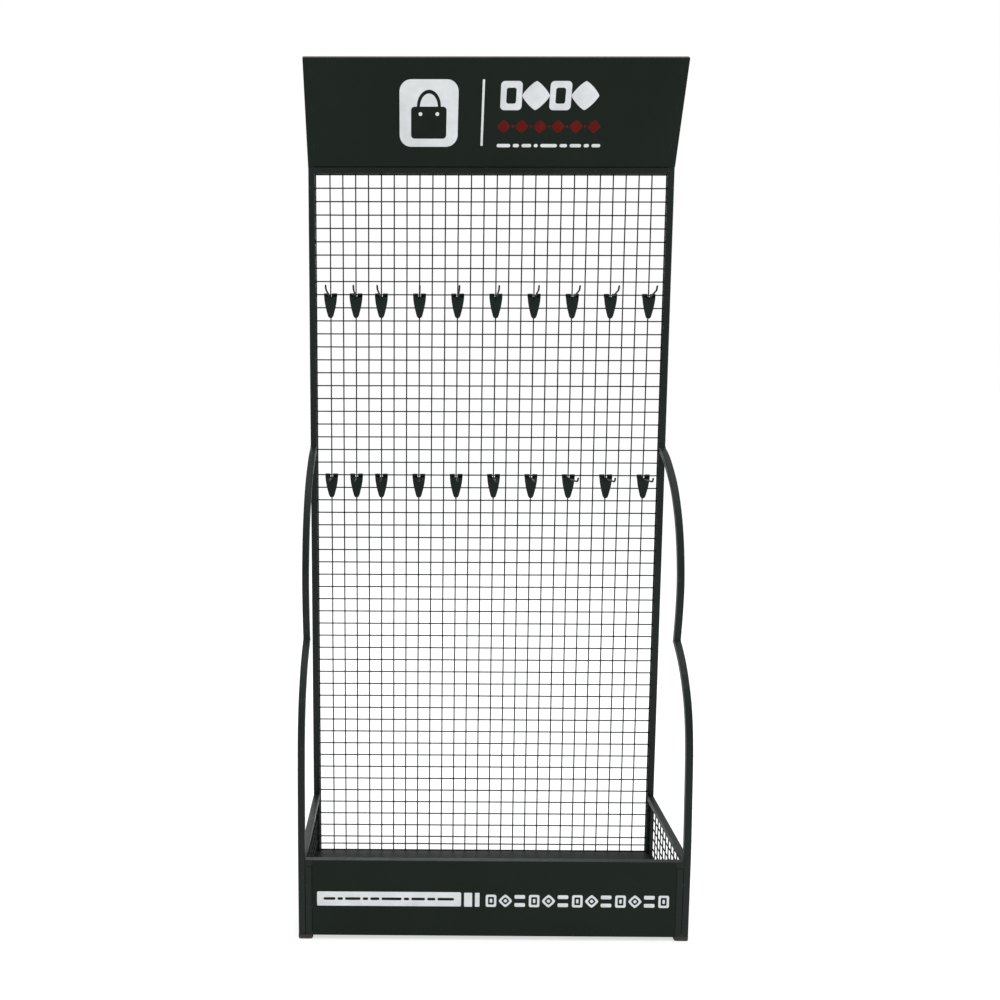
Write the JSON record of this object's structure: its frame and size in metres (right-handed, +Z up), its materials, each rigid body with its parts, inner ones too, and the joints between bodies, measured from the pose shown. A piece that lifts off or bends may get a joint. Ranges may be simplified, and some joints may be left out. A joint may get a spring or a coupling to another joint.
{
  "type": "wire grid display rack",
  "caption": "Floor-standing black steel display rack with a wire grid back, tilted header board, bowed side tubes, a base basket and lift-off prong hooks.",
  "frame": {"origin": "on the floor, at the centre of the rack's footprint box", "axes": "+Z up, +X to the right of a shopper who faces the rack, and the rack's front faces -Y"},
  "size_m": [0.8594, 0.3708, 1.9219],
  "materials": {
    "frame_tube": "black satin powder coat",
    "wire_mesh": "black satin powder coat over welded wire",
    "sheet_steel": "black semi-matt powder coat on sheet steel",
    "hook_steel": "black satin powder coat on pressed steel",
    "foot_rubber": "black moulded rubber",
    "bolt_steel": "blackened zinc-plated steel"
  },
  "bodies": {
    "root": {"left_post": "frame_tube", "right_post": "frame_tube", "top_cross_tube": "frame_tube", "bottom_cross_tube": "frame_tube", "grid_panel": "wire_mesh", "left_header_arm": "frame_tube", "right_header_arm": "frame_tube", "header_top_rail": "frame_tube", "header_panel": "sheet_steel", "left_bow_upper": "frame_tube", "right_bow_upper": "frame_tube", "left_bow_lower": "frame_tube", "right_bow_lower": "frame_tube", "left_front_stile": "frame_tube", "right_front_stile": "frame_tube", "front_top_rail": "frame_tube", "front_bottom_rail": "frame_tube", "front_panel": "sheet_steel", "left_side_top_rail": "frame_tube", "right_side_top_rail": "frame_tube", "left_side_bottom_rail": "frame_tube", "right_side_bottom_rail": "frame_tube", "left_side_mesh": "wire_mesh", "right_side_mesh": "wire_mesh", "left_shelf_bearer": "frame_tube", "right_shelf_bearer": "frame_tube", "base_shelf": "sheet_steel", "front_left_foot": "foot_rubber", "front_right_foot": "foot_rubber", "rear_left_foot": "foot_rubber", "rear_right_foot": "foot_rubber", "left_frame_bolt_upper": "bolt_steel", "right_frame_bolt_upper": "bolt_steel", "left_frame_bolt_lower": "bolt_steel", "right_frame_bolt_lower": "bolt_steel"},
    "upper_hook_01_body": {"upper_hook_01": "hook_steel"},
    "upper_hook_02_body": {"upper_hook_02": "hook_steel"},
    "upper_hook_03_body": {"upper_hook_03": "hook_steel"},
    "upper_hook_04_body": {"upper_hook_04": "hook_steel"},
    "upper_hook_05_body": {"upper_hook_05": "hook_steel"},
    "upper_hook_06_body": {"upper_hook_06": "hook_steel"},
    "upper_hook_07_body": {"upper_hook_07": "hook_steel"},
    "upper_hook_08_body": {"upper_hook_08": "hook_steel"},
    "upper_hook_09_body": {"upper_hook_09": "hook_steel"},
    "upper_hook_10_body": {"upper_hook_10": "hook_steel"},
    "lower_hook_01_body": {"lower_hook_01": "hook_steel"},
    "lower_hook_02_body": {"lower_hook_02": "hook_steel"},
    "lower_hook_03_body": {"lower_hook_03": "hook_steel"},
    "lower_hook_04_body": {"lower_hook_04": "hook_steel"},
    "lower_hook_05_body": {"lower_hook_05": "hook_steel"},
    "lower_hook_06_body": {"lower_hook_06": "hook_steel"},
    "lower_hook_07_body": {"lower_hook_07": "hook_steel"},
    "lower_hook_08_body": {"lower_hook_08": "hook_steel"},
    "lower_hook_09_body": {"lower_hook_09": "hook_steel"},
    "lower_hook_10_body": {"lower_hook_10": "hook_steel"}
  },
  "joints": [
    {"name": "upper_hook_01_lift", "type": "slide", "parent": "root", "child": "upper_hook_01_body", "axis": [0, 0, 1], "range_m": [0, 0.009]},
    {"name": "upper_hook_02_lift", "type": "slide", "parent": "root", "child": "upper_hook_02_body", "axis": [0, 0, 1], "range_m": [0, 0.009]},
    {"name": "upper_hook_03_lift", "type": "slide", "parent": "root", "child": "upper_hook_03_body", "axis": [0, 0, 1], "range_m": [0, 0.009]},
    {"name": "upper_hook_04_lift", "type": "slide", "parent": "root", "child": "upper_hook_04_body", "axis": [0, 0, 1], "range_m": [0, 0.009]},
    {"name": "upper_hook_05_lift", "type": "slide", "parent": "root", "child": "upper_hook_05_body", "axis": [0, 0, 1], "range_m": [0, 0.009]},
    {"name": "upper_hook_06_lift", "type": "slide", "parent": "root", "child": "upper_hook_06_body", "axis": [0, 0, 1], "range_m": [0, 0.009]},
    {"name": "upper_hook_07_lift", "type": "slide", "parent": "root", "child": "upper_hook_07_body", "axis": [0, 0, 1], "range_m": [0, 0.009]},
    {"name": "upper_hook_08_lift", "type": "slide", "parent": "root", "child": "upper_hook_08_body", "axis": [0, 0, 1], "range_m": [0, 0.009]},
    {"name": "upper_hook_09_lift", "type": "slide", "parent": "root", "child": "upper_hook_09_body", "axis": [0, 0, 1], "range_m": [0, 0.009]},
    {"name": "upper_hook_10_lift", "type": "slide", "parent": "root", "child": "upper_hook_10_body", "axis": [0, 0, 1], "range_m": [0, 0.009]},
    {"name": "lower_hook_01_lift", "type": "slide", "parent": "root", "child": "lower_hook_01_body", "axis": [0, 0, 1], "range_m": [0, 0.009]},
    {"name": "lower_hook_02_lift", "type": "slide", "parent": "root", "child": "lower_hook_02_body", "axis": [0, 0, 1], "range_m": [0, 0.009]},
    {"name": "lower_hook_03_lift", "type": "slide", "parent": "root", "child": "lower_hook_03_body", "axis": [0, 0, 1], "range_m": [0, 0.009]},
    {"name": "lower_hook_04_lift", "type": "slide", "parent": "root", "child": "lower_hook_04_body", "axis": [0, 0, 1], "range_m": [0, 0.009]},
    {"name": "lower_hook_05_lift", "type": "slide", "parent": "root", "child": "lower_hook_05_body", "axis": [0, 0, 1], "range_m": [0, 0.009]},
    {"name": "lower_hook_06_lift", "type": "slide", "parent": "root", "child": "lower_hook_06_body", "axis": [0, 0, 1], "range_m": [0, 0.009]},
    {"name": "lower_hook_07_lift", "type": "slide", "parent": "root", "child": "lower_hook_07_body", "axis": [0, 0, 1], "range_m": [0, 0.009]},
    {"name": "lower_hook_08_lift", "type": "slide", "parent": "root", "child": "lower_hook_08_body", "axis": [0, 0, 1], "range_m": [0, 0.009]},
    {"name": "lower_hook_09_lift", "type": "slide", "parent": "root", "child": "lower_hook_09_body", "axis": [0, 0, 1], "range_m": [0, 0.009]},
    {"name": "lower_hook_10_lift", "type": "slide", "parent": "root", "child": "lower_hook_10_body", "axis": [0, 0, 1], "range_m": [0, 0.009]}
  ]
}
